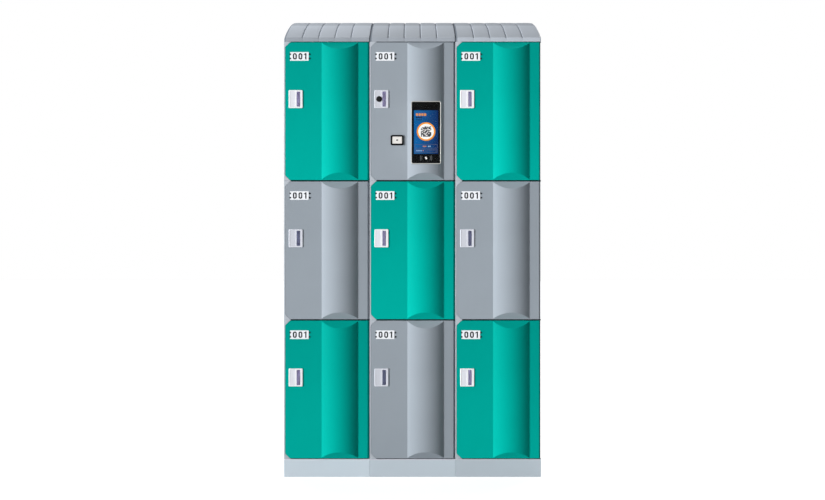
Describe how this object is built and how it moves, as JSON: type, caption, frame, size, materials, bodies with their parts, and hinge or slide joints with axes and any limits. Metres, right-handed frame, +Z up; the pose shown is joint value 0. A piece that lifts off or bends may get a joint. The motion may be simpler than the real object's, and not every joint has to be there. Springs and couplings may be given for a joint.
{
  "type": "phone charging kiosk",
  "caption": "Bank of plastic charging lockers on plinths, with a key lock, reader and screen terminal on the control door.",
  "frame": {"origin": "on the floor, under the middle of the bank's bounding box", "axes": "+Z up, doors face -Y, +X to the right as seen from the front"},
  "size_m": [1.1456, 0.53, 2.1256],
  "materials": {
    "door_green": "satin moulded ABS",
    "door_grey": "satin moulded ABS",
    "shell_grey": "fine textured ABS",
    "roof_grey": "fine textured ABS",
    "plinth_grey": "fine textured ABS",
    "handle_white": "smooth white",
    "black_plastic": "satin black",
    "trim_silver": "silver painted",
    "screen_glass": "polished",
    "screen_panel": "lit display",
    "reader_window": "translucent white",
    "lock_black": "textured black",
    "bolt_steel": "plated",
    "unit_metal": "brushed sheet",
    "unit_grey": "textured dark grey"
  },
  "bodies": {
    "bank": {"shell_1_1": "shell_grey", "lock_unit_1_1": "lock_black", "shell_1_2": "shell_grey", "controller_box": "unit_grey", "power_supply": "unit_metal", "power_inlet": "black_plastic", "shell_1_3": "shell_grey", "lock_unit_1_3": "lock_black", "shell_2_1": "shell_grey", "lock_unit_2_1": "lock_black", "shell_2_2": "shell_grey", "lock_unit_2_2": "lock_black", "shell_2_3": "shell_grey", "lock_unit_2_3": "lock_black", "shell_3_1": "shell_grey", "lock_unit_3_1": "lock_black", "shell_3_2": "shell_grey", "lock_unit_3_2": "lock_black", "shell_3_3": "shell_grey", "lock_unit_3_3": "lock_black", "plinth_1": "plinth_grey", "roof_1": "roof_grey", "plinth_2": "plinth_grey", "roof_2": "roof_grey", "plinth_3": "plinth_grey", "roof_3": "roof_grey"},
    "door_1_1": {"door_1_1": "door_green", "handle_1_1": "handle_white"},
    "bolt_1_1": {"latch_bolt_1_1": "bolt_steel"},
    "door_1_2": {"door_1_2": "door_grey", "handle_1_2": "handle_white", "key_barrel": "black_plastic", "reader_bezel": "black_plastic", "reader_module": "reader_window", "terminal_housing": "trim_silver", "terminal_glass": "screen_glass", "display_panel": "screen_panel"},
    "key": {"key_plug": "bolt_steel"},
    "door_1_3": {"door_1_3": "door_green", "handle_1_3": "handle_white"},
    "bolt_1_3": {"latch_bolt_1_3": "bolt_steel"},
    "door_2_1": {"door_2_1": "door_grey", "handle_2_1": "handle_white"},
    "bolt_2_1": {"latch_bolt_2_1": "bolt_steel"},
    "door_2_2": {"door_2_2": "door_green", "handle_2_2": "handle_white"},
    "bolt_2_2": {"latch_bolt_2_2": "bolt_steel"},
    "door_2_3": {"door_2_3": "door_grey", "handle_2_3": "handle_white"},
    "bolt_2_3": {"latch_bolt_2_3": "bolt_steel"},
    "door_3_1": {"door_3_1": "door_green", "handle_3_1": "handle_white"},
    "bolt_3_1": {"latch_bolt_3_1": "bolt_steel"},
    "door_3_2": {"door_3_2": "door_grey", "handle_3_2": "handle_white"},
    "bolt_3_2": {"latch_bolt_3_2": "bolt_steel"},
    "door_3_3": {"door_3_3": "door_green", "handle_3_3": "handle_white"},
    "bolt_3_3": {"latch_bolt_3_3": "bolt_steel"}
  },
  "joints": [
    {"name": "hinge_1_1", "type": "hinge", "parent": "bank", "child": "door_1_1", "pos_m": [-0.20315, -0.226, 1.63], "axis": [0, 0, 1], "range_deg": [0, 100]},
    {"name": "bolt_slide_1_1", "type": "slide", "parent": "bank", "child": "bolt_1_1", "axis": [1, 0, 0], "range_m": [0, 0.009]},
    {"name": "hinge_1_2", "type": "hinge", "parent": "bank", "child": "door_1_2", "pos_m": [0.17885, -0.226, 1.63], "axis": [0, 0, 1], "range_deg": [0, 100]},
    {"name": "key_turn", "type": "hinge", "parent": "door_1_2", "child": "key", "pos_m": [-0.14885, -0.235, 1.68365], "axis": [0, 1, 0], "range_deg": [0, 90]},
    {"name": "hinge_1_3", "type": "hinge", "parent": "bank", "child": "door_1_3", "pos_m": [0.56085, -0.226, 1.63], "axis": [0, 0, 1], "range_deg": [0, 100]},
    {"name": "bolt_slide_1_3", "type": "slide", "parent": "bank", "child": "bolt_1_3", "axis": [1, 0, 0], "range_m": [0, 0.009]},
    {"name": "hinge_2_1", "type": "hinge", "parent": "bank", "child": "door_2_1", "pos_m": [-0.20315, -0.226, 1.01], "axis": [0, 0, 1], "range_deg": [0, 100]},
    {"name": "bolt_slide_2_1", "type": "slide", "parent": "bank", "child": "bolt_2_1", "axis": [1, 0, 0], "range_m": [0, 0.009]},
    {"name": "hinge_2_2", "type": "hinge", "parent": "bank", "child": "door_2_2", "pos_m": [0.17885, -0.226, 1.01], "axis": [0, 0, 1], "range_deg": [0, 100]},
    {"name": "bolt_slide_2_2", "type": "slide", "parent": "bank", "child": "bolt_2_2", "axis": [1, 0, 0], "range_m": [0, 0.009]},
    {"name": "hinge_2_3", "type": "hinge", "parent": "bank", "child": "door_2_3", "pos_m": [0.56085, -0.226, 1.01], "axis": [0, 0, 1], "range_deg": [0, 100]},
    {"name": "bolt_slide_2_3", "type": "slide", "parent": "bank", "child": "bolt_2_3", "axis": [1, 0, 0], "range_m": [0, 0.009]},
    {"name": "hinge_3_1", "type": "hinge", "parent": "bank", "child": "door_3_1", "pos_m": [-0.20315, -0.226, 0.39], "axis": [0, 0, 1], "range_deg": [0, 100]},
    {"name": "bolt_slide_3_1", "type": "slide", "parent": "bank", "child": "bolt_3_1", "axis": [1, 0, 0], "range_m": [0, 0.009]},
    {"name": "hinge_3_2", "type": "hinge", "parent": "bank", "child": "door_3_2", "pos_m": [0.17885, -0.226, 0.39], "axis": [0, 0, 1], "range_deg": [0, 100]},
    {"name": "bolt_slide_3_2", "type": "slide", "parent": "bank", "child": "bolt_3_2", "axis": [1, 0, 0], "range_m": [0, 0.009]},
    {"name": "hinge_3_3", "type": "hinge", "parent": "bank", "child": "door_3_3", "pos_m": [0.56085, -0.226, 0.39], "axis": [0, 0, 1], "range_deg": [0, 100]},
    {"name": "bolt_slide_3_3", "type": "slide", "parent": "bank", "child": "bolt_3_3", "axis": [1, 0, 0], "range_m": [0, 0.009]}
  ]
}
